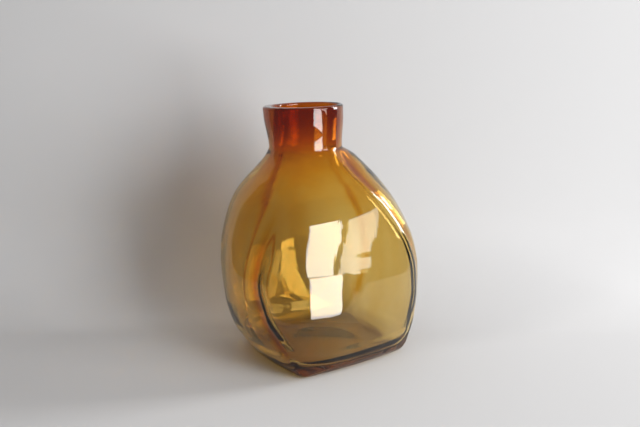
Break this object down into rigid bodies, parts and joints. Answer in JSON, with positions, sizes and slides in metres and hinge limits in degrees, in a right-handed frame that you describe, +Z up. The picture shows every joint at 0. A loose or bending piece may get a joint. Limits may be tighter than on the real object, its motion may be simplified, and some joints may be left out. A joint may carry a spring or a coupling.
{
  "type": "glass vase",
  "caption": "Blown amber glass vase with a square foot, soft lobes between twisting creases, and a short wide neck cut flat at a slightly tilted rim.",
  "frame": {"origin": "middle of the vessel's box, on the surface that the foot rests on", "axes": "+Z up through the open neck; the square foot's sides run roughly along X and Y"},
  "size_m": [0.1922, 0.1698, 0.24],
  "materials": {
    "amber_glass": "clear amber blown glass, polished, pale in the thin body and dark red-brown in the thick neck"
  },
  "bodies": {
    "root": {"glass_vessel": "amber_glass"}
  },
  "joints": []
}
